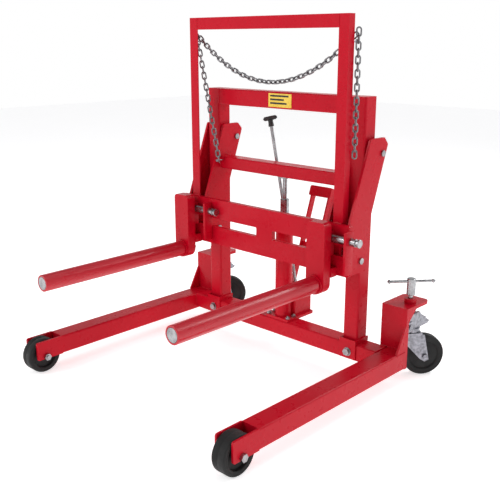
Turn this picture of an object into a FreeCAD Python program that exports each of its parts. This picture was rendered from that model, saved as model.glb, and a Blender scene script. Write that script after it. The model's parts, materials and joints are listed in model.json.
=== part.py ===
"""Wheel dolly: a hydraulic trolley that lifts a lorry wheel on two roller forks.

Millimetres, +Z up, forks pointing to -Y. The shapes are laid out with y = 0 on the mast's
front face, and save() shifts them so that the origin is at the bottom centre of the whole.
"""
import FreeCAD, Part
import math
import os

V = FreeCAD.Vector

# ---- driving dimensions -------------------------------------------------------------------
mast_width = 618.0
post_size = 50.0
tube_wall = 4.0
mast_top = 816.0

leg_outer = 438.0            # half of the overall width across the legs
leg_width = 60.0
leg_bottom, leg_top = 45.0, 101.0
leg_front, leg_rear = -556.0, 58.0

beam_front, beam_rear = -8.0, 52.0
beam_bottom, beam_top = 53.0, 103.0

wheel_radius, wheel_width = 52.0, 38.0
wheel_axle_y = -612.0
cheek_thick, cheek_front = 6.0, -642.0
axle_radius = 6.0

arm_thick = 8.0
arm_inner_face = 253.0       # the inner plate's face towards the post
arm_outer_face = 317.0       # the outer plate's face towards the post
guide_upper = (64.3, 660.0)  # roller behind the post: y, z
guide_lower = (-20.3, 366.0)  # roller before the post: y, z
guide_upper_radius, guide_lower_radius = 14.0, 20.0

bar_half, bar_front, bar_rear = 338.0, -95.0, -80.0
bar_bottom, bar_top = 336.0, 480.0
slot_bottom, slot_top = 392.0, 420.0
slots = ((-318.0, -6.0), (57.0, 318.0))   # ends of the two slots, left and right
slot_corner = 4.0

stile_outer, stile_flange, stile_depth, angle_wall = 302.0, 32.0, 25.0, 4.0
frame_top = 1029.0

fork_centres = {"left": -283.0, "right": 265.0}
fork_z = 315.0
bracket_width, bracket_front, bracket_rear = 62.0, -150.0, -120.0
bracket_bottom, bracket_top = 286.0, 490.0
roller_radius, roller_bore, shaft_radius = 24.0, 19.0, 12.0
roller_tip = -664.0
slip = 0.05                  # radial running clearance of a shaft in its bush
gap = 0.4                    # free space between parts that slide past each other

jack_y = 28.0
jack_radius, jack_bore, ram_radius = 27.0, 19.0, 7.0
jack_top, gland_top = 430.0, 490.0
lift_up = 60.0                 # travel of the ram above its rest place
cross_bottom, cross_top, cross_front, cross_rear = 564.0, 602.0, -10.0, 40.0

caster_x = 409.0
caster_radius, caster_width, caster_round = 62.5, 30.0, 6.0
swivel_y, caster_trail = 132.0, 38.0
caster_turn = -38.0          # both casters stand turned by this about their swivels
column_inner, column_rear, column_top = 353.0, 70.0, 219.0
plate_top, plate_rear = 229.0, 176.0
hinge_y, hinge_z = 84.0, 168.0
arm_half = 19.0
arm_seat_z, arm_base_z = 198.0, 150.0
screw_y, screw_radius = 118.0, 7.0
tbar_z, tbar_half, tbar_turn, tbar_ball = 293.0, 65.0, 48.0, 6.0

pump_half, pump_rear, pump_bottom, pump_top = 36.0, 124.0, 111.0, 168.0
lever_y, lever_z = 112.0, 182.0
pad_y, pad_z = 222.0, 500.0
lever_bar_half, lever_round = 10.0, 9.0      # half depth of its bars, and their rounded ends
plunger_y = 86.0
spindle_foot, spindle_head = (22.0, 72.0), (-98.0, 72.0)   # release spindle: x, y
spindle_top = 702.0

chain_wire, chain_inner, chain_width = 4.4, 18.0, 7.2
hook_x, hook_y, hook_z = 309.0, -46.0, 985.0
chain_low, chain_end = 846.0, 650.0
chain_start = V(-230, -30, 588)
hook_pin_x, hook_pin_z = 294.5, 959.5

whole_front = roller_tip
turn_sin = abs(math.sin(math.radians(caster_turn)))
turn_cos = math.cos(math.radians(caster_turn))
rolling = caster_trail + caster_radius - caster_round     # swivel to where the tread rounds off
flank = caster_width / 2 - caster_round
caster_rear = swivel_y + rolling * turn_cos + flank * turn_sin + caster_round
lever_long = math.hypot(pad_y - lever_y, pad_z - lever_z)
lever_lean = math.atan2(pad_y - lever_y, pad_z - lever_z)
lever_rear = (lever_y + (lever_bar_half - lever_round) * math.cos(lever_lean)
              + (lever_long - lever_round) * math.sin(lever_lean) + lever_round)
whole_rear = max(caster_rear, lever_rear)
whole_right = caster_x + rolling * turn_sin + flank * turn_cos + caster_round
whole_left = -(caster_x + tbar_half * math.cos(math.radians(tbar_turn)) + tbar_ball)
origin_shift = V(-(whole_left + whole_right) / 2, -(whole_front + whole_rear) / 2, 0)


# ---- shape helpers ------------------------------------------------------------------------
def box(x0, x1, y0, y1, z0, z1):
    return Part.makeBox(abs(x1 - x0), abs(y1 - y0), abs(z1 - z0),
                        V(min(x0, x1), min(y0, y1), min(z0, z1)))


def rod(axis, at, radius, start, end):
    """A cylinder along axis from start to end; at holds the two other coordinates in order."""
    place = {"x": V(start, *at), "y": V(at[0], start, at[1]), "z": V(*at, start)}[axis]
    way = {"x": V(1, 0, 0), "y": V(0, 1, 0), "z": V(0, 0, 1)}[axis]
    return Part.makeCylinder(radius, end - start, place, way)


def ring(axis, at, outer, inner, start, end):
    return rod(axis, at, outer, start, end).cut(rod(axis, at, inner, start - 1, end + 1))


def hexagon(axis, at, across, start, end):
    """A hexagonal head or nut, across its flats."""
    corner = across / math.sqrt(3)
    points = []
    for step in range(7):
        turn = math.radians(60 * step)
        a, b = corner * math.cos(turn), corner * math.sin(turn)
        points.append({"x": V(start, at[0] + a, at[1] + b), "y": V(at[0] + a, start, at[1] + b),
                       "z": V(at[0] + a, at[1] + b, start)}[axis])
    way = {"x": V(1, 0, 0), "y": V(0, 1, 0), "z": V(0, 0, 1)}[axis]
    return Part.Face(Part.makePolygon(points)).extrude(way * (end - start))


def fuse(first, *others):
    return first.multiFuse(list(others)).removeSplitter() if others else first


def side_plate(outline, x0, x1):
    """A plate of constant thickness in X from its (y, z) outline."""
    points = [V(x0, y, z) for y, z in outline]
    return Part.Face(Part.makePolygon(points + points[:1])).extrude(V(x1 - x0, 0, 0))


def round_edges(shape, radius, chosen):
    """Fillets the edges for which chosen(edge) is true."""
    edges = [edge for edge in shape.Edges if chosen(edge)]
    return shape.makeFillet(radius, edges) if edges else shape


def along(edge, axis):
    """True for a straight edge that runs along the axis."""
    if not isinstance(edge.Curve, Part.Line):
        return False
    way = edge.Curve.Direction
    return abs(abs({"x": way.x, "y": way.y, "z": way.z}[axis]) - 1) < 1e-6


def square_tube(x0, x1, y0, y1, z0, z1, axis, wall=tube_wall, corner=5.0):
    """A closed-end hollow section along axis with rounded long edges."""
    outer = round_edges(box(x0, x1, y0, y1, z0, z1), corner, lambda edge: along(edge, axis))
    return outer.cut(box(x0 + wall, x1 - wall, y0 + wall, y1 - wall, z0 + wall, z1 - wall))


def mirrored(shape):
    return shape.mirror(V(0, 0, 0), V(1, 0, 0))


def save(name, *solids):
    whole = solids[0] if len(solids) == 1 else Part.makeCompound(list(solids))
    moved = whole.copy()
    moved.translate(origin_shift)
    moved.exportStep(f"parts/{name}.step")


def save_pair(name, *solids):
    """Writes the right-hand piece as drawn and the left-hand piece as its mirror image."""
    save(f"{name}_right", *solids)
    save(f"{name}_left", *[mirrored(solid) for solid in solids])


def save_both(name, *solids):
    """Writes the right-hand pieces and their mirror images as one group of separate solids."""
    save(name, *solids, *[mirrored(solid) for solid in solids])


# ---- base frame ---------------------------------------------------------------------------
def make_legs():
    inner = leg_outer - leg_width
    centre = leg_outer - leg_width / 2
    leg = square_tube(inner, leg_outer, leg_front, leg_rear, leg_bottom, leg_top, "y")
    axle_at = (wheel_axle_y, wheel_radius)
    cheeks = []
    for x0 in (inner, leg_outer - cheek_thick):
        plate = box(x0, x0 + cheek_thick, cheek_front, leg_front, leg_bottom, leg_top)
        plate = round_edges(plate, 6, lambda edge: along(edge, "x") and
                            edge.CenterOfMass.y < cheek_front + 1)
        cheeks.append(plate.cut(rod("x", axle_at, axle_radius + slip, x0 - 1, x0 + 20)))
    save_pair("leg", leg, *cheeks)
    axle = fuse(rod("x", axle_at, axle_radius, inner - 12, leg_outer + 2),
                hexagon("x", axle_at, 19, leg_outer, leg_outer + 8))
    nut = hexagon("x", axle_at, 19, inner - 9, inner).cut(
        rod("x", axle_at, axle_radius, inner - 20, inner + 1))
    save_both("front_axles", axle, nut)
    hub_half = wheel_width / 2 + 3
    hub = ring("x", axle_at, 16, axle_radius + slip, centre - hub_half, centre + hub_half)
    tyre = ring("x", axle_at, wheel_radius, 16, centre - wheel_width / 2, centre + wheel_width / 2)
    tyre = round_edges(tyre, 5, lambda edge: edge.BoundBox.ZLength > 2 * wheel_radius - 1
                       and edge.BoundBox.XLength < 1)
    save_pair("front_wheel", tyre, hub)


def make_crossbeam():
    inner = leg_outer - leg_width
    beam = square_tube(-inner, inner, beam_front, beam_rear, beam_bottom, beam_top, "x")
    bolts, nuts = [], []
    half = mast_width / 2
    shoe_wall, shoe_top, shoe_foot = 4.0, 117.0, 4.0
    bolt_x, bolt_z, bolt_radius, bolt_head, head_high = half - post_size / 2, 78.0, 6.0, 19.0, 8.0
    front = beam_front - shoe_wall
    for side in (-1, 1):
        at = (side * bolt_x, bolt_z)
        beam = beam.cut(rod("y", at, bolt_radius + slip, beam_front - 1, beam_rear + 1))
        bolts.append(fuse(rod("y", at, bolt_radius, front, beam_rear + 2 * head_high),
                          hexagon("y", at, bolt_head, front - head_high, front)))
        nuts.append(hexagon("y", at, bolt_head, beam_rear, beam_rear + head_high).cut(
            rod("y", at, bolt_radius, beam_rear - 1, beam_rear + 20)))
    save("rear_crossbeam", beam)
    save("foot_bolts", *bolts, *nuts)
    inner_side = half - post_size
    shoe = fuse(box(inner_side - shoe_wall, half + shoe_wall, front, beam_front,
                    beam_bottom + shoe_foot, shoe_top),
                box(half, half + shoe_wall, beam_front, beam_rear, beam_top, shoe_top),
                box(inner_side - shoe_wall, inner_side, beam_front, beam_rear,
                    beam_top, shoe_top))
    shoe = shoe.cut(rod("y", (bolt_x, bolt_z), bolt_radius + slip, front - 1, beam_front + 1))
    save_both("foot_shoes", shoe)


def make_mast():
    half = mast_width / 2
    post = square_tube(half - post_size, half, 0, post_size, beam_top, mast_top, "z")
    save_pair("mast_post", post)
    crossbar = square_tube(post_size - half, half - post_size, 0, post_size,
                           mast_top - post_size, mast_top, "x")
    save("mast_crossbar", crossbar)
    label = box(-45, 45, -1, 0, mast_top - 45, mast_top - 5)
    save("label_plate", label)


# ---- lifting carriage ---------------------------------------------------------------------
def arm_outline():
    """Side plates: upright behind the slotted bar, leaning back to the upper guide roller."""
    return [(bar_rear, bar_bottom - 4), (bar_rear, 468), (8, 704), (72, 704), (90, 684),
            (14, 470), (4, 436), (4, bar_bottom - 4)]


def make_arms():
    notch = box(200, 340, bar_rear - 1, bar_rear + 16, slot_bottom - 18, slot_top + 18)
    for name, x0 in (("arm_outer", arm_outer_face), ("arm_inner", arm_inner_face - arm_thick)):
        plate = side_plate(arm_outline(), x0, x0 + arm_thick)
        plate = round_edges(plate, 7, lambda edge: along(edge, "x") and edge.CenterOfMass.z > 680)
        plate = plate.cut(notch)
        for at in (guide_upper, guide_lower):
            plate = plate.cut(rod("x", at, 6 + slip, x0 - 1, x0 + arm_thick + 1))
        save_pair(name, plate)
    first, last = arm_inner_face - arm_thick, arm_outer_face + arm_thick
    pins = []
    for at in (guide_upper, guide_lower):
        pins.append(fuse(rod("x", at, 6, first - 2, last + 2), rod("x", at, 9, last, last + 5),
                         rod("x", at, 9, first - 5, first)))
    save_both("guide_pins", *pins)
    for name, at, radius in (("guide_rollers_upper", guide_upper, guide_upper_radius),
                             ("guide_rollers_lower", guide_lower, guide_lower_radius)):
        save_both(name, ring("x", at, radius, 6 + slip, arm_inner_face + 4, arm_outer_face - 4))


def make_carriage():
    bar = round_edges(box(-bar_half, bar_half, bar_front, bar_rear, bar_bottom, bar_top), 5,
                      lambda edge: along(edge, "y"))
    for start, end in slots:
        slot = box(start, end, bar_front - 1, bar_rear + 1, slot_bottom, slot_top)
        bar = bar.cut(round_edges(slot, slot_corner, lambda edge: along(edge, "y")))
    save("slotted_bar", bar)
    inner = arm_inner_face - arm_thick
    cross = square_tube(-inner, inner, cross_front, cross_rear, cross_bottom, cross_top, "x")
    save("carriage_crossbar", cross)
    foot = slot_top + 18
    flange = box(stile_outer - stile_flange, stile_outer, bar_rear, bar_rear + angle_wall,
                 foot, frame_top)
    side = box(stile_outer - angle_wall, stile_outer, bar_rear, bar_rear + stile_depth,
               foot, frame_top)
    save_pair("frame_stile", fuse(flange, side))
    end = stile_outer - stile_flange
    top = fuse(box(-end, end, bar_rear, bar_rear + angle_wall, frame_top - 35, frame_top),
               box(-end, end, bar_rear, bar_rear + stile_depth, frame_top - angle_wall, frame_top))
    save("frame_top_bar", top)


def make_jack():
    foot = round_edges(box(-48, 48, beam_front + 2, pump_rear, beam_top, pump_bottom), 8,
                       lambda edge: along(edge, "z"))
    save("jack_foot", foot)
    bolts = [fuse(hexagon("z", (x, y), 13, pump_bottom, pump_bottom + 6),
                  rod("z", (x, y), 4, pump_bottom, pump_bottom + 10))
             for x in (-40, 40) for y in (4, 32)]
    save("jack_foot_bolts", *bolts)
    at = (0, jack_y)
    body = rod("z", at, jack_radius, pump_bottom, jack_top)
    save("jack_cylinder", body.cut(rod("z", at, jack_bore, 190, jack_top + 1)))
    gland = fuse(rod("z", at, jack_radius - 2, jack_top, jack_top + 10),
                 rod("z", at, 14, jack_top, gland_top),
                 rod("z", at, jack_bore - 0.1, jack_top - 10, jack_top))
    save("jack_gland", gland.cut(rod("z", at, ram_radius + slip, jack_top - 20, gland_top + 1)))
    piston_top = jack_top - 15 - lift_up - 10
    piston = rod("z", at, jack_bore - slip, piston_top - 20, piston_top)
    save("jack_ram", piston, fuse(rod("z", at, ram_radius, piston_top, cross_bottom),
                                  rod("z", at, 15, cross_bottom - 8, cross_bottom)))


def make_pump():
    ear_thick, ear_half, ear_inner = 8.0, 12.0, 22.0
    pin_radius, plunger_radius, well_bottom = 5.0, 8.0, pump_bottom + 14
    block = box(-pump_half, pump_half, jack_y + 14, pump_rear, pump_bottom, pump_top)
    block = round_edges(block, 4, lambda edge: along(edge, "z"))
    for x0 in (-ear_inner - ear_thick, ear_inner):
        ear = box(x0, x0 + ear_thick, lever_y - ear_half, pump_rear, pump_top,
                  lever_z + ear_half)
        block = block.fuse(round_edges(ear, 10, lambda edge: along(edge, "x")
                                       and edge.CenterOfMass.z > lever_z))
    pin_at, plunger_at = (lever_y, lever_z), (0, plunger_y)
    block = block.cut(rod("z", (0, jack_y), jack_radius, pump_bottom - 1, pump_top + 1))
    block = block.cut(rod("x", pin_at, pin_radius + slip, -60, 60))
    block = block.cut(rod("z", plunger_at, plunger_radius + slip, well_bottom, pump_top + 1))
    collar = ring("z", spindle_foot, 12, 8.5, pump_top, pump_top + 10)
    save("pump_block", block, collar)

    tongue_half = 4.0
    tip, neck = lever_z - tongue_half - gap, 5.0
    plunger = fuse(rod("z", plunger_at, plunger_radius, well_bottom + 2, tip - neck),
                   rod("z", plunger_at, plunger_radius / 2, tip - neck - 1, tip))
    save("pump_plunger", plunger)

    bar_thick, bar_inner = 6.0, 32.0
    pad_half, pad_thick, pad_high = 44.0, 4.0, 34.0
    brace_low, brace_high = lever_z + 130, lever_z + 150
    pin = rod("x", pin_at, pin_radius, -42, 42)
    tongue = fuse(box(-8, 8, plunger_y - 6, lever_y, lever_z - tongue_half,
                      lever_z + tongue_half),
                  rod("x", pin_at, 10, -20, 20))
    tongue = tongue.cut(rod("x", pin_at, pin_radius, -30, 30))
    top = lever_z + lever_long
    bars = []
    for x0 in (-bar_inner - bar_thick, bar_inner):
        bar = box(x0, x0 + bar_thick, lever_y - lever_bar_half, lever_y + lever_bar_half,
                  lever_z - lever_bar_half - 2, top)
        bar = round_edges(bar, lever_round, lambda edge: along(edge, "x"))
        bars.append(bar.cut(rod("x", pin_at, pin_radius, x0 - 1, x0 + bar_thick + 1)))
    pad_rear = lever_y - lever_bar_half
    pad = box(-pad_half, pad_half, pad_rear - pad_thick, pad_rear, top - pad_high, top)
    pad = round_edges(pad, 6, lambda edge: along(edge, "y"))
    brace = box(-bar_inner, bar_inner, lever_y - 3, lever_y + 3, brace_low, brace_high)
    for piece in (*bars, pad, brace):
        piece.rotate(V(0, lever_y, lever_z), V(-1, 0, 0), math.degrees(lever_lean))
    save("pump_lever", *bars, pad, brace, tongue, pin)


def make_release_rod():
    """A slanting valve spindle behind the jack with a T-shaped grip on top."""
    spindle_radius, socket_deep = 5.0, 10.0
    grip_radius, grip_high, bar_radius, bar_half, bar_rise = 9.0, 22.0, 7.0, 28.0, 26.0
    lifted = 1.5             # keeps the slanting lower end clear of the pump block
    foot = V(*spindle_foot, pump_top)
    head = V(*spindle_head, spindle_top)
    way = (head - foot).normalize()
    save("release_rod", Part.makeCylinder(spindle_radius, (head - foot).Length - lifted,
                                          foot + way * lifted, way))
    grip = Part.makeCylinder(grip_radius, grip_high, head, way)
    across = V(0, 1, 0).cross(way).normalize()
    bar = Part.makeCylinder(bar_radius, 2 * bar_half,
                            head + way * bar_rise - across * bar_half, across)
    bar = round_edges(bar, 5, lambda edge: isinstance(edge.Curve, Part.Circle))
    socket = Part.makeCylinder(spindle_radius, socket_deep + 2, head - way * 2, way)
    save("release_grip", grip.fuse(bar).cut(socket))


# ---- forks --------------------------------------------------------------------------------
def make_fork(side, centre):
    """One fork unit: bracket, block through the slot, slide rod, shaft and turning roller."""
    at = (centre, fork_z)
    half, collar_thick = bracket_width / 2, 6.0
    bracket = fuse(box(centre - half, centre + half, bracket_front, bracket_rear,
                       bracket_bottom + half, bracket_top),
                   rod("y", (centre, bracket_bottom + half), half, bracket_front, bracket_rear))
    bracket = round_edges(bracket, 12, lambda edge: along(edge, "y")
                          and edge.CenterOfMass.z > bracket_top - 1)
    collar_front = bracket_front - collar_thick
    collar = ring("y", at, 28, shaft_radius, collar_front, bracket_front)
    bracket = bracket.cut(rod("y", at, shaft_radius, bracket_front - 1, bracket_rear + 1))
    save(f"fork_bracket_{side}", bracket, collar)

    rod_at, rod_radius, rod_reach = (-108, 443), 11.0, 118.0
    head_half, head_top, shank_half = 22.0, 462.0, 12.0
    foot_bottom, foot_top, foot_reach = 334.0, 360.0, 34.0
    block_rear, shank_play = bar_front - gap, 1.0
    block = fuse(box(centre - head_half, centre + head_half, bracket_rear, block_rear,
                     slot_bottom, head_top),
                 box(centre - shank_half, centre + shank_half, bracket_rear, bar_rear + gap,
                     slot_bottom + shank_play, slot_top - shank_play),
                 box(centre - shank_half, centre + shank_half, bracket_rear, block_rear,
                     foot_bottom, slot_bottom),
                 box(centre - shank_half, centre + foot_reach, bracket_rear, block_rear,
                     foot_bottom, foot_top))
    block = block.cut(rod("x", rod_at, rod_radius, centre - half, centre + half))
    clamp_half, clamp_thick, clamp_lap = 30.0, 10.0, 12.0
    clamp = box(centre - clamp_half, centre + clamp_half, bar_rear + gap, bar_rear + clamp_thick,
                slot_bottom - clamp_lap, slot_top + clamp_lap)
    clamp = round_edges(clamp, 6, lambda edge: along(edge, "y"))
    save(f"slide_block_{side}", block, clamp)

    disc_radius, disc_thick, neck_radius, neck_long = 11.8, 6.0, 8.0, 6.0
    rod_end = centre + rod_reach - disc_thick - neck_long
    slide_rod = fuse(rod("x", rod_at, rod_radius, centre - head_half, rod_end),
                     rod("x", rod_at, neck_radius, rod_end, rod_end + neck_long),
                     rod("x", rod_at, disc_radius, rod_end + neck_long, centre + rod_reach))
    keeper_near, keeper_far, keeper_front = centre + 78, centre + 86, -128.0
    keeper_bottom, keeper_top = 350.0, 470.0
    keeper = box(keeper_near, keeper_far, keeper_front, block_rear, keeper_bottom, keeper_top)
    keeper = round_edges(keeper, 4, lambda edge: along(edge, "x"))
    keeper = keeper.cut(rod("x", rod_at, rod_radius, keeper_near - 1, keeper_far + 1))
    save(f"slide_rod_{side}", slide_rod, keeper)

    nut_across, nut_thick, bush_long, cap_thick = 36.0, 12.0, 30.0, 4.0
    shaft_end = roller_tip + cap_thick
    shaft = fuse(rod("y", at, shaft_radius, shaft_end, bracket_rear),
                 hexagon("y", at, nut_across, bracket_rear, bracket_rear + nut_thick))
    cap = rod("y", at, roller_bore - 1, roller_tip, shaft_end)
    save(f"fork_shaft_{side}", shaft, cap)
    tube_end = collar_front - gap
    tube = ring("y", at, roller_radius, roller_bore, roller_tip, tube_end)
    tube = round_edges(tube, 1.5, lambda edge: isinstance(edge.Curve, Part.Circle)
                       and edge.Curve.Radius > roller_radius - 0.1)
    bushes = [ring("y", at, roller_bore, shaft_radius + slip, y, y + bush_long)
              for y in (shaft_end + 1, tube_end - bush_long - 1)]
    save(f"fork_roller_{side}", tube, *bushes)


# ---- casters ------------------------------------------------------------------------------
def make_caster():
    outer = leg_outer
    plate = box(column_inner, outer, leg_rear, plate_rear, column_top, plate_top)
    plate = round_edges(plate, 14, lambda edge: along(edge, "z")
                        and edge.CenterOfMass.y > plate_rear - 1)
    upright = box(column_inner, outer, leg_rear, column_rear, leg_bottom, column_top)
    upper_gusset = side_plate([(column_rear, column_top), (106, column_top), (column_rear, 186)],
                              outer - 6, outer)
    lower_gusset = side_plate([(leg_rear, leg_top), (16, leg_top), (leg_rear, 178)],
                              outer - 6, outer)
    screw_at = (caster_x, screw_y)
    boss = rod("z", screw_at, 17, plate_top, plate_top + 14)
    column = fuse(upright, plate, upper_gusset, lower_gusset, boss)
    save_pair("caster_column",
              column.cut(rod("z", screw_at, screw_radius + slip, column_top - 1, plate_top + 30)))

    hinge = (hinge_y, hinge_z)
    lugs = []
    for x0 in (caster_x - arm_half - 8, caster_x + arm_half + 2):
        lug = side_plate([(column_rear, 152), (column_rear, 184), (hinge_y + 10, 182),
                          (hinge_y + 12, hinge_z), (hinge_y + 6, 154)], x0, x0 + 6)
        lugs.append(lug.cut(rod("x", hinge, 5 + slip, x0 - 1, x0 + 7)))
    pin = fuse(rod("x", hinge, 5, caster_x - arm_half - 10, caster_x + arm_half + 10),
               rod("x", hinge, 8, caster_x + arm_half + 8, caster_x + arm_half + 11))
    save_both("caster_hinges", *lugs, pin)

    outline = [(hinge_y, arm_base_z), (192, arm_base_z), (200, arm_base_z + 6),
               (140, arm_seat_z), (100, arm_seat_z), (hinge_y, hinge_z + 12)]
    body = side_plate(outline, caster_x - arm_half, caster_x + arm_half)
    body = fuse(body, rod("x", hinge, 12, caster_x - arm_half, caster_x + arm_half))
    body = body.cut(rod("x", hinge, 5 + slip, caster_x - 40, caster_x + 40))
    king_at = (caster_x, swivel_y)
    body = body.cut(rod("z", king_at, 6, arm_base_z - 1, arm_base_z + 20))
    slope = math.degrees(math.atan2(arm_seat_z - arm_base_z - 6, 60))
    bolts = []
    for x, reach in ((10, 14), (10, 54), (-10, 14), (-10, 54)):
        bolt = rod("z", (caster_x + x, 140 + reach), 5, arm_seat_z, arm_seat_z + 4)
        bolt.rotate(V(caster_x, 140, arm_seat_z), V(-1, 0, 0), slope)
        bolts.append(bolt)
    head = ring("z", king_at, 25, 6 + slip, 137, arm_base_z)
    head = round_edges(head, 4, lambda edge: isinstance(edge.Curve, Part.Circle)
                       and edge.Curve.Radius > 24 and edge.CenterOfMass.z < 138)
    king = fuse(rod("z", king_at, 6, 121, arm_base_z + 20), hexagon("z", king_at, 19, 121, 129.5))
    save_pair("caster_arm", body, head, king, *bolts)

    save_casters()


def save_casters():
    """The swivelling forks and their wheels, each turned about its own swivel."""
    top_half, cheek, axle_y = 25.0, 5.0, swivel_y + caster_trail
    top_bottom, top_top = 130.0, 136.7
    for side, x in (("right", caster_x), ("left", -caster_x)):
        king_at, axle_at = (x, swivel_y), (axle_y, caster_radius)
        top = box(x - top_half, x + top_half, swivel_y - 26, swivel_y + 26, top_bottom, top_top)
        line = [(swivel_y - 26, top_bottom), (swivel_y - 26, 108), (axle_y - 16, 56),
                (axle_y, 46), (axle_y + 12, 52), (swivel_y + 34, top_bottom)]
        cheeks = [side_plate(line, x0, x0 + cheek)
                  for x0 in (x - top_half, x + top_half - cheek)]
        fork = fuse(top, *cheeks).cut(rod("z", king_at, 6 + slip, 120, 140))
        fork = fork.cut(rod("x", axle_at, 5 + slip, x - 40, x + 40))
        axle = fuse(rod("x", axle_at, 5, x - top_half - 5, x + top_half),
                    hexagon("x", axle_at, 15, x + top_half, x + top_half + 6),
                    hexagon("x", axle_at, 15, x - top_half - 6, x - top_half))
        wheel = ring("x", axle_at, caster_radius, 5 + slip, x - caster_width / 2,
                     x + caster_width / 2)
        wheel = round_edges(wheel, caster_round, lambda edge: isinstance(edge.Curve, Part.Circle)
                            and edge.Curve.Radius > caster_radius - 1)
        for piece in (fork, axle, wheel):
            piece.rotate(V(x, swivel_y, 0), V(0, 0, 1), caster_turn)
        save(f"caster_fork_{side}", fork, axle)
        save(f"caster_wheel_{side}", wheel)


def make_screws():
    at = (caster_x, screw_y)
    dome = Part.makeSphere(12, V(*at, arm_seat_z + gap + 12))
    pad = dome.common(rod("z", at, 9, arm_seat_z, arm_seat_z + 8))
    save_pair("screw_pad", pad)
    hub = rod("z", at, 13, 253, 302)
    hub = round_edges(hub, 2, lambda edge: isinstance(edge.Curve, Part.Circle))
    screw = fuse(rod("z", at, screw_radius, arm_seat_z + 8, 256), hub)
    turn = math.radians(tbar_turn)
    way = V(math.cos(turn), math.sin(turn), 0)
    centre = V(*at, tbar_z)
    bar = Part.makeCylinder(4, 2 * tbar_half, centre - way * tbar_half, way)
    balls = [Part.makeSphere(tbar_ball, centre + way * (tbar_half * end)) for end in (-1, 1)]
    screw = screw.cut(Part.makeCylinder(4, 60, centre - way * 30, way))
    save_pair("t_screw", screw, fuse(bar, *balls))


# ---- safety chain -------------------------------------------------------------------------
def chain_link():
    """One welded link, long axis X, flat in XY."""
    straight = chain_inner - chain_width
    bend = (chain_width + chain_wire) / 2
    pieces = [Part.makeCylinder(chain_wire / 2, straight, V(-straight / 2, side * bend, 0),
                                V(1, 0, 0)) for side in (-1, 1)]
    for end in (-1, 1):
        half = Part.makeTorus(bend, chain_wire / 2, V(0, 0, 0), V(0, 0, 1), -180, 180, 180)
        half.rotate(V(0, 0, 0), V(0, 0, 1), 90 - 90 * end - 90)
        half.translate(V(end * straight / 2, 0, 0))
        pieces.append(half)
    return fuse(*pieces)


def chain_route():
    """Points along the chain: up to the left hook, the sagging swag, down from the right hook."""
    points = [chain_start, V(-hook_x, hook_y, hook_z)]
    steps = 60
    for step in range(1, steps + 1):
        x = -hook_x + 2 * hook_x * step / steps
        points.append(V(x, hook_y, chain_low + (hook_z - chain_low) * (x / hook_x) ** 2))
    points.append(V(hook_x, hook_y, chain_end))
    return points


def make_chain():
    link = chain_link()
    spacing = chain_inner - 0.4
    points = chain_route()
    links, travelled, due, count = [], 0.0, spacing / 2, 0
    for a, b in zip(points, points[1:]):
        length = (b - a).Length
        way = (b - a).normalize()
        while due <= travelled + length:
            centre = a + way * (due - travelled)
            copy = link.copy()
            turn = FreeCAD.Rotation(V(1, 0, 0), way)
            copy.Placement = FreeCAD.Placement(
                centre, turn.multiply(FreeCAD.Rotation(V(1, 0, 0), 45 + 90 * (count % 2))))
            links.append(copy)
            due += spacing
            count += 1
        travelled += length
    save("safety_chain", *links)
    eye_at, head_back = (chain_start.x - 0.9, chain_start.z + 4.6), chain_start.y - 8
    eye = fuse(rod("y", eye_at, 1.2, head_back, cross_front),
               rod("y", eye_at, 4, head_back - 3, head_back))
    hook_at = (hook_pin_x, hook_pin_z)
    hook_back, hook_end = bar_rear + angle_wall, hook_y + 12
    hook = fuse(rod("y", hook_at, 2.5, hook_back, hook_end),
                rod("y", hook_at, 6, hook_end, hook_end + 3))
    save("chain_hooks", eye, hook, mirrored(hook))


os.makedirs("parts", exist_ok=True)
make_legs()
make_crossbeam()
make_mast()
make_arms()
make_carriage()
make_jack()
make_pump()
make_release_rod()
for fork_side, fork_centre in fork_centres.items():
    make_fork(fork_side, fork_centre)
make_caster()
make_screws()
make_chain()
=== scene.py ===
"""Looks of the wheel dolly: finishes on the CAD pieces and detailed pieces around them."""
import bpy
import bmesh
import json
import math
from mathutils import Matrix, Vector


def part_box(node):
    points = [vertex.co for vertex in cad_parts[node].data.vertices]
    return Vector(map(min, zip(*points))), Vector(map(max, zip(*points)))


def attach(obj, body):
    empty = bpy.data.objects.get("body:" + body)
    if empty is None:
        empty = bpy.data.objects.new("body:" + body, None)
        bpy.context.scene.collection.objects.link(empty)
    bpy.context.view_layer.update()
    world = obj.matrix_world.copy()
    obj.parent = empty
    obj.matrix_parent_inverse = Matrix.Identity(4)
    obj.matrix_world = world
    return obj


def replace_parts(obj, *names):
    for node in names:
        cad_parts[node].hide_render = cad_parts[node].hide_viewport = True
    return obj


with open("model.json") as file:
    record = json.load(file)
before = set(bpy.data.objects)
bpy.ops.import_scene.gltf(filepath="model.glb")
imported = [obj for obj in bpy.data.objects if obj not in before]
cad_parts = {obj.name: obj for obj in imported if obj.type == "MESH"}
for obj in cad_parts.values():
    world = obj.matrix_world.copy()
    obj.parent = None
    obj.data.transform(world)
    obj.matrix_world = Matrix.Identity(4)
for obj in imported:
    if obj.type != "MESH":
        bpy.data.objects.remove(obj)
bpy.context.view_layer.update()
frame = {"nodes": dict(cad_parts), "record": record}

NODES = frame["nodes"]
JOINTS = {joint["name"]: joint for joint in frame["record"]["behaviour"]["joints"]}
SIDES = {"left": -1, "right": 1}
SHARP = math.radians(32)     # edges that turn by more than this stay sharp in the shading

# ---- places: x from the middle of the mast, y from its front face, z from the floor, in mm --
post_left, post_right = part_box("mast_post_left"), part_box("mast_post_right")
MAST = Vector(((post_left[0][0] + post_right[1][0]) / 2, post_right[0][1], 0))
MM = 0.001


def place(x, y, z):
    return MAST + Vector((x, y, z)) * MM


def local(point):
    """A point of the frame in the mast's millimetres."""
    return (Vector(point) - MAST) / MM


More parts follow.
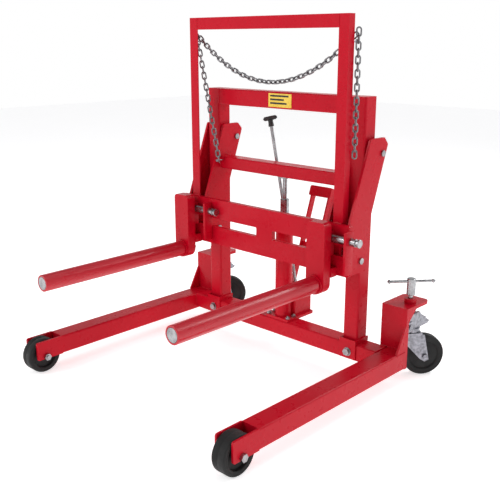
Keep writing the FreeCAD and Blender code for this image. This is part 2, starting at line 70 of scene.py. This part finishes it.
# ---- camera, light and floor --------------------------------------------------------------
CAMERA_AT = (1485, -1686.75, 958.6)      # mast millimetres
CAMERA_DOWN, CAMERA_TURN = 15.6, 43.62   # degrees below the horizon, and round from behind -Y
CAMERA_LENS, CAMERA_SENSOR = 53.7, 36.0


def make_camera():
    data = bpy.data.cameras.new("camera")
    data.sensor_width = CAMERA_SENSOR
    data.lens = CAMERA_LENS
    camera = bpy.data.objects.new("camera", data)
    camera.location = place(*CAMERA_AT)
    camera.rotation_euler = (math.radians(90 - CAMERA_DOWN), 0, math.radians(CAMERA_TURN))
    bpy.context.scene.collection.objects.link(camera)
    bpy.context.scene.camera = camera


def area_light(name, at, aim, size, power):
    data = bpy.data.lights.new(name, "AREA")
    data.shape = "RECTANGLE"
    data.size, data.size_y = size
    data.energy = power
    light = bpy.data.objects.new(name, data)
    light.location = at
    light.rotation_euler = (Vector(aim) - Vector(at)).to_track_quat("-Z", "Y").to_euler()
    bpy.context.scene.collection.objects.link(light)


def make_studio():
    """A white room, bright at the horizon and dimmer overhead, with four soft lights."""
    scene = bpy.context.scene
    scene.view_settings.view_transform = "Standard"
    world = bpy.data.worlds.new("studio")
    world.use_nodes = True
    nodes, links = world.node_tree.nodes, world.node_tree.links
    where = nodes.new("ShaderNodeTexCoord")
    split = nodes.new("ShaderNodeSeparateXYZ")
    ramp = nodes.new("ShaderNodeValToRGB")
    horizon, overhead = ramp.color_ramp.elements
    horizon.position, horizon.color = 0.2, (1, 1, 1, 1)
    overhead.position, overhead.color = 0.45, (0.28, 0.28, 0.29, 1)
    links.new(where.outputs["Generated"], split.inputs[0])
    links.new(split.outputs["Z"], ramp.inputs[0])
    links.new(ramp.outputs["Color"], nodes["Background"].inputs[0])
    scene.world = world
    aim = place(0, -200, 400)
    area_light("key", place(-1500, -3200, 2600), aim, (1.4, 1.4), 42)
    area_light("side", place(3200, -1200, 1800), aim, (2.0, 2.0), 3)
    area_light("top", place(0, 0, 3400), aim, (2.4, 2.4), 16)
    area_light("back", place(1100, 2400, 2500), aim, (2.2, 1.0), 50)
    half = 9.0
    mesh = bpy.data.meshes.new("floor")
    mesh.from_pydata([(-half, -half, 0), (half, -half, 0), (half, half, 0), (-half, half, 0)],
                     [], [(0, 1, 2, 3)])
    floor = bpy.data.objects.new("floor", mesh)
    scene.collection.objects.link(floor)
    paper = Finish("floor_paper")
    paper.shader.inputs["Roughness"].default_value = 0.9
    paper.tint((0.95, 0.95, 0.95), (0.93, 0.93, 0.93), 3)
    paper.shader.inputs["Emission Color"].default_value = (1, 1, 1, 1)
    paper.shader.inputs["Emission Strength"].default_value = 0.6
    floor.data.materials.append(paper.material)


# ---- materials ----------------------------------------------------------------------------
NOISE_LOW, NOISE_HIGH = 0.35, 0.65       # the stretch of the noise that the tones span


class Finish:
    """A Principled material built up from object-space noises."""

    def __init__(self, name, metallic=0.0, specular=0.5, coat=0.0):
        self.name = name
        self.material = bpy.data.materials.new(name)
        self.material.use_nodes = True
        self.nodes = self.material.node_tree.nodes
        self.links = self.material.node_tree.links
        self.shader = self.nodes["Principled BSDF"]
        self.shader.inputs["Metallic"].default_value = metallic
        self.shader.inputs["Specular IOR Level"].default_value = specular
        self.shader.inputs["Coat Weight"].default_value = coat
        self.shader.inputs["Coat Roughness"].default_value = 0.12
        self.where = self.nodes.new("ShaderNodeTexCoord").outputs["Object"]

    def noise(self, scale, detail, stretch):
        mapping = self.nodes.new("ShaderNodeMapping")
        mapping.inputs["Scale"].default_value = stretch
        texture = self.nodes.new("ShaderNodeTexNoise")
        texture.inputs["Scale"].default_value = scale
        texture.inputs["Detail"].default_value = detail
        self.links.new(self.where, mapping.inputs["Vector"])
        self.links.new(mapping.outputs["Vector"], texture.inputs["Vector"])
        return texture.outputs["Fac"]

    def tint(self, first, second, scale, stretch=(1, 1, 1)):
        """Base colour that drifts between two tones."""
        ramp = self.nodes.new("ShaderNodeValToRGB")
        low, high = ramp.color_ramp.elements
        low.position, low.color = NOISE_LOW, (*first, 1)
        high.position, high.color = NOISE_HIGH, (*second, 1)
        self.links.new(self.noise(scale, 4, stretch), ramp.inputs[0])
        self.links.new(ramp.outputs["Color"], self.shader.inputs["Base Color"])

    def mottle(self, low, high, scale, stretch=(1, 1, 1)):
        """Roughness that varies over the surface."""
        node = self.nodes.new("ShaderNodeMapRange")
        node.inputs["From Min"].default_value = NOISE_LOW
        node.inputs["From Max"].default_value = NOISE_HIGH
        node.inputs["To Min"].default_value = low
        node.inputs["To Max"].default_value = high
        self.links.new(self.noise(scale, 4, stretch), node.inputs["Value"])
        self.links.new(node.outputs["Result"], self.shader.inputs["Roughness"])

    def bump(self, scale, strength, depth, stretch=(1, 1, 1)):
        """A bump of the given depth in metres."""
        node = self.nodes.new("ShaderNodeBump")
        node.inputs["Strength"].default_value = strength
        node.inputs["Distance"].default_value = depth
        self.links.new(self.noise(scale, 2, stretch), node.inputs["Height"])
        self.links.new(node.outputs["Normal"], self.shader.inputs["Normal"])


def make_finishes():
    """One finish for each material slot of the record."""
    red = Finish("red_paint", specular=0.16)
    red.tint((0.505, 0.0015, 0.014), (0.535, 0.0025, 0.016), 7)
    red.mottle(0.25, 0.36, 35)
    red.bump(420, 0.2, 0.0002)
    roller = Finish("roller_paint", specular=0.5, coat=0.1)
    roller.tint((0.50, 0.002, 0.015), (0.54, 0.003, 0.017), 14, (1, 0.3, 1))
    roller.mottle(0.24, 0.42, 60, (1, 0.2, 1))
    roller.bump(300, 0.2, 0.0003, (1, 0.15, 1))
    steel = Finish("bright_steel", metallic=1.0)
    steel.tint((0.27, 0.27, 0.28), (0.44, 0.44, 0.45), 60)
    steel.mottle(0.18, 0.34, 90)
    steel.bump(900, 0.3, 0.0001, (1, 1, 0.2))
    zinc = Finish("zinc_plate", metallic=1.0)
    zinc.tint((0.20, 0.20, 0.22), (0.36, 0.36, 0.40), 110)
    zinc.mottle(0.3, 0.5, 140)
    zinc.bump(500, 0.35, 0.0003)
    chain = Finish("chain_steel", metallic=1.0)
    chain.tint((0.15, 0.15, 0.16), (0.30, 0.30, 0.31), 160)
    chain.mottle(0.28, 0.48, 200)
    chain.bump(800, 0.3, 0.0001)
    tyre = Finish("black_tyre", specular=0.3)
    tyre.tint((0.008, 0.008, 0.008), (0.018, 0.018, 0.018), 25)
    tyre.mottle(0.5, 0.75, 50)
    tyre.bump(700, 0.4, 0.0003)
    grip = Finish("black_grip", specular=0.4)
    grip.tint((0.011, 0.011, 0.012), (0.022, 0.022, 0.024), 60)
    grip.mottle(0.42, 0.6, 80)
    grip.bump(1400, 0.5, 0.0002)
    label = Finish("label_film")
    label.tint((0.82, 0.55, 0.05), (0.88, 0.62, 0.08), 18)
    label.mottle(0.2, 0.34, 30)
    label.bump(260, 0.15, 0.0001)
    return {finish.name: finish
            for finish in (red, roller, steel, zinc, chain, tyre, grip, label)}


def dress(piece, finish):
    piece.data.materials.clear()
    piece.data.materials.append(finish.material)


def smooth(mesh):
    """Smooth shading that keeps the sharp edges."""
    for face in mesh.polygons:
        face.use_smooth = True
    mesh.set_sharp_from_angle(angle=SHARP)


# ---- mesh helpers -------------------------------------------------------------------------
def add_piece(name, mesh_bm, body, slot):
    """Puts a finished mesh in the scene as a piece that rides on a body."""
    bmesh.ops.recalc_face_normals(mesh_bm, faces=mesh_bm.faces)
    mesh = bpy.data.meshes.new(name)
    mesh_bm.to_mesh(mesh)
    mesh_bm.free()
    mesh.validate()
    smooth(mesh)
    piece = bpy.data.objects.new(name, mesh)
    bpy.context.scene.collection.objects.link(piece)
    dress(piece, finishes[slot])
    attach(piece, body)
    return piece


def box_of(node):
    """A node's lowest and highest corners in mast millimetres."""
    return [local(corner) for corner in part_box(node)]


def turned_from_x(axis):
    """A rotation that takes +X to the axis."""
    return Vector((1, 0, 0)).rotation_difference(Vector(axis)).to_matrix().to_4x4()


def lathe(mesh_bm, outline, centre, axis, segments):
    """Revolves a closed outline of (along, radius) points in mm about the axis at centre."""
    frame_of = Matrix.Translation(centre) @ turned_from_x(axis)
    rings = []
    for step in range(segments):
        turn = 2 * math.pi * step / segments
        across, up = math.cos(turn), math.sin(turn)
        rings.append([mesh_bm.verts.new(frame_of @ (Vector((a, r * across, r * up)) * MM))
                      for a, r in outline])
    rings.append(rings[0])
    join_rings(mesh_bm, rings)


def join_rings(mesh_bm, rings):
    """Faces between each closed ring of vertices and the next."""
    for here, after in zip(rings, rings[1:]):
        for k in range(len(here)):
            k_next = (k + 1) % len(here)
            mesh_bm.faces.new((here[k], here[k_next], after[k_next], after[k]))


def arc(centre_along, centre_radius, radius, start, end, steps=6):
    """Points of an arc in the outline's plane, angles in degrees from the +along direction."""
    points = []
    for step in range(steps + 1):
        turn = math.radians(start + (end - start) * step / steps)
        points.append((centre_along + radius * math.cos(turn),
                       centre_radius + radius * math.sin(turn)))
    return points


def both_ways(half):
    """A half outline from the bore outwards, followed by its mirror image."""
    return half + [(-a, r) for a, r in reversed(half)]


# ---- wheels -------------------------------------------------------------------------------
def make_wheel(kind, side, body, width, hub_radius, web, bore):
    """A solid wheel: hub, dished web and a tyre with a rounded shoulder and a moulding line.
    width is across the tyre, and web is half the thickness of the disc between it and the hub."""
    node = f"{kind}_{side}"
    low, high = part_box(node)
    radius = (high.z - low.z) / MM / 2
    half, shoulder, dish = width / 2, 6, 8
    rim_inner, rim_outer = radius * 0.68, radius * 0.75
    outline = [(half - 0.5, bore), (half - 0.5, hub_radius - 1.5), (half - 1.5, hub_radius),
               (web, hub_radius + 2), (web - 1, hub_radius + dish), (web, rim_inner),
               (half - 2, radius * 0.72), (half - 0.8, rim_outer),
               (half - 0.3, radius - shoulder - 3), (half - 0.9, radius - shoulder - 2.2)]
    outline += arc(half - shoulder, radius - shoulder, shoulder, 0, 90)
    outline += [(1.2, radius), (0.6, radius - 0.35)]
    mesh_bm = bmesh.new()
    lathe(mesh_bm, both_ways(outline), (low + high) / 2, JOINTS[f"{kind}_spin_{side}"]["axis"], 96)
    piece = add_piece(f"{node}_moulded", mesh_bm, body, "black_tyre")
    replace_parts(piece, node)


# ---- small parts --------------------------------------------------------------------------
def make_washers():
    """A washer under the head of each foot bolt."""
    outer, bore, thick, head_half, bolt_z = 13, 6.1, 1.6, 9.5, 78
    outline = [(0, bore), (0, outer), (thick * 0.7, outer), (thick, outer - 0.5),
               (thick, bore + 0.3), (thick * 0.8, bore)]
    bolt_x = box_of("foot_bolts")[1].x - head_half
    shoe_front = box_of("foot_shoes")[0].y
    mesh_bm = bmesh.new()
    for side in SIDES.values():
        lathe(mesh_bm, outline, place(side * bolt_x, shoe_front - 0.1, bolt_z), (0, -1, 0), 36)
    add_piece("foot_washers", mesh_bm, "base", "bright_steel")


def bead(mesh_bm, start, end, radius=2.6):
    """A weld bead: a low ribbed tube between two points, in mast millimetres."""
    sides, pitch, tapering = 8, 1.5, 6.0
    a, b = place(*start), place(*end)
    way = (b - a).normalized()
    length = (b - a).length / MM
    across = way.orthogonal().normalized()
    up = way.cross(across)
    count = max(4, int(length / pitch))
    rings = []
    for step in range(count + 1):
        share = step / count
        ripple = 1 + 0.16 * math.sin(step * 2.1) + 0.05 * math.sin(step * 0.7)
        taper = min(1, 0.35 + min(share, 1 - share) * length / tapering)
        reach = radius * MM * ripple * taper
        centre = a + (b - a) * share
        turns = [2 * math.pi * k / sides for k in range(sides)]
        rings.append([mesh_bm.verts.new(centre + across * reach * math.cos(turn)
                                        + up * reach * math.sin(turn)) for turn in turns])
    join_rings(mesh_bm, rings)
    mesh_bm.faces.new(rings[0])
    mesh_bm.faces.new(list(reversed(rings[-1])))


def make_welds():
    """Beads along the joins of the base frame and of the lifting carriage."""
    thin = 2.0
    top_low, top_high = box_of("mast_crossbar")
    beam_low, beam_high = box_of("rear_crossbeam")
    leg_top = box_of("leg_right")[1]
    column_low = box_of("caster_column_right")[0]
    column_front, column_rear, column_top = 58, 70, 219
    base = bmesh.new()
    for side in SIDES.values():
        x = side * beam_high.x
        bead(base, (x, beam_low.y + 4, leg_top.z), (x, beam_high.y - 4, leg_top.z))
        bead(base, (x, beam_low.y, beam_low.z + 5), (x, beam_low.y, leg_top.z - 4))
        x = side * top_high.x
        bead(base, (x, 0, top_low.z + 3), (x, 0, top_high.z - 3), thin)
        bead(base, (x, 2, top_low.z), (x, 48, top_low.z), thin)
        end = side * (leg_top.x - 8)
        bead(base, (side * (column_low.x + 4), column_front, leg_top.z),
             (end, column_front, leg_top.z))
        bead(base, (side * (column_low.x + 3), column_rear, column_top),
             (end, column_rear, column_top), 2.2)
    add_piece("base_welds", base, "base", "red_paint")

    bar_low, bar_high = box_of("slotted_bar")
    arm_in, arm_out = box_of("arm_inner_right")[0].x, box_of("arm_outer_right")[1].x
    stile_low, stile_high = box_of("frame_stile_right")
    cross_low, cross_high = box_of("carriage_crossbar")
    arm_runs = ((bar_low.z + 2, bar_low.z + 38), (440, 466))     # below and above the notch
    lift = bmesh.new()
    for side in SIDES.values():
        for x in (side * arm_in, side * arm_out):
            for low, high in arm_runs:
                bead(lift, (x, bar_high.y, low), (x, bar_high.y, high))
        x = side * stile_low.x
        bead(lift, (side * (stile_low.x + 2), bar_high.y, bar_high.z),
             (side * (stile_high.x - 2), bar_high.y, bar_high.z), thin)
        bead(lift, (x, bar_high.y, stile_high.z - 34), (x, bar_high.y, stile_high.z - 2), 1.6)
        x = side * cross_high.x
        bead(lift, (x, cross_low.y + 3, cross_high.z), (x, cross_high.y - 3, cross_high.z))
        bead(lift, (x, cross_low.y, cross_low.z + 3), (x, cross_low.y, cross_high.z - 3))
    add_piece("carriage_welds", lift, "carriage", "red_paint")


def make_slide_rods():
    """The bright rod of each fork, with its disc, and the painted keeper plate that it passes."""
    rod_y, rod_z, rod_radius, neck_radius, disc_radius = -108, 443, 11, 8, 11.8
    keeper_thick, keeper_from_end, centre_mark = 8, 36, 0.05
    collar = [(0, rod_radius + 0.1), (0, rod_radius + 1.4), (1.2, rod_radius + 1.1),
              (2.2, rod_radius + 0.1)]
    for side in SIDES:
        node, body = f"slide_rod_{side}", f"fork_{side}"
        low, high = box_of(node)
        length = high.x - low.x
        shank, neck = length - 12, length - 6
        outline = [(0, centre_mark), (0, rod_radius - 1), (1, rod_radius),
                   (shank - 1, rod_radius), (shank, rod_radius - 1), (shank, neck_radius),
                   (neck, neck_radius), (neck, disc_radius - 0.8), (neck + 0.8, disc_radius),
                   (length - 0.8, disc_radius), (length, disc_radius - 0.8),
                   (length, centre_mark)]
        mesh_bm = bmesh.new()
        lathe(mesh_bm, outline, place(low.x, rod_y, rod_z), (1, 0, 0), 48)
        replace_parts(add_piece(f"fork_rod_{side}", mesh_bm, body, "bright_steel"), node)

        keeper_x = high.x - keeper_from_end
        size = Vector((keeper_thick, high.y - low.y, high.z - low.z)) * MM
        middle = place(keeper_x, (low.y + high.y) / 2, (low.z + high.z) / 2)
        mesh_bm = bmesh.new()
        bmesh.ops.create_cube(mesh_bm, size=1, matrix=Matrix.Translation(middle)
                              @ Matrix.Diagonal((*size, 1)))
        bmesh.ops.bevel(mesh_bm, geom=mesh_bm.edges[:], offset=1.2 * MM, segments=3,
                        profile=0.5, affect="EDGES")
        lathe(mesh_bm, collar, place(keeper_x + keeper_thick / 2, rod_y, rod_z), (1, 0, 0), 40)
        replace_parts(add_piece(f"rod_keeper_{side}", mesh_bm, body, "red_paint"), node)


def make_grip():
    """A moulded T-grip with finger ridges on the release spindle."""
    head_z, spindle_bore, rise = 0.702, 5.05, 26
    bar_half, bar_radius, ridge, ridge_turn, steps = 28, 6.6, 0.4, 0.9, 40
    joint = JOINTS["release_turn"]
    axis, foot = Vector(joint["axis"]).normalized(), Vector(joint["pos_m"])
    head = foot + axis * ((head_z - foot.z) / axis.z)
    across = Vector((0, 1, 0)).cross(axis).normalized()
    stem = [(0, spindle_bore), (0, 8.2), (1.2, 9), (8, 8.2), (16, 7.6), (21, 8.4),
            (21, spindle_bore)]
    mesh_bm = bmesh.new()
    lathe(mesh_bm, stem, head, axis, 40)
    bar = [(-bar_half, 0.2)]
    for step in range(steps + 1):
        a = -bar_half + 2 * bar_half * step / steps
        end = math.sqrt(max(0.0, 1 - (abs(a) / (bar_half + 0.01)) ** 8))
        bar.append((a, max(0.4, (bar_radius + ridge * math.cos(a * ridge_turn)) * end)))
    bar.append((bar_half, 0.2))
    lathe(mesh_bm, bar, head + axis * rise * MM, across, 40)
    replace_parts(add_piece("release_t_grip", mesh_bm, "release", "black_grip"), "release_grip")


def make_label():
    """Three raised plain bars on the label, with no lettering."""
    low, high = box_of("label_plate")
    wide, tall = high.x - low.x, high.z - low.z
    margin, proud, bar_high = 0.08, 0.5, 5
    mesh_bm = bmesh.new()
    for level, share in ((0.82, 0.8), (0.55, 0.6), (0.28, 0.72)):
        centre = place(low.x + wide * (margin + share / 2), low.y - 0.15, low.z + tall * level)
        size = Vector((wide * share, proud, bar_high)) * MM
        made = bmesh.ops.create_cube(mesh_bm, size=1, matrix=Matrix.Translation(centre)
                                     @ Matrix.Diagonal((*size, 1)))
        edges = {edge for vert in made["verts"] for edge in vert.link_edges}
        bmesh.ops.bevel(mesh_bm, geom=list(edges), offset=0.15 * MM, segments=2, profile=0.5,
                        affect="EDGES")
    add_piece("label_bars", mesh_bm, "base", "black_grip")


# ---- assembly -----------------------------------------------------------------------------
finishes = make_finishes()
make_camera()
make_studio()
for part in frame["record"]["subparts"]:
    dress(NODES[part["node"]], finishes[part["material_slot"]])
    smooth(NODES[part["node"]].data)
for side in SIDES:
    make_wheel("front_wheel", side, f"front_roll_{side}", 43.5, 17, 12, 6.1)
    make_wheel("caster_wheel", side, f"rear_roll_{side}", 30, 16, 10, 5.1)
make_washers()
make_welds()
make_slide_rods()
make_grip()
make_label()
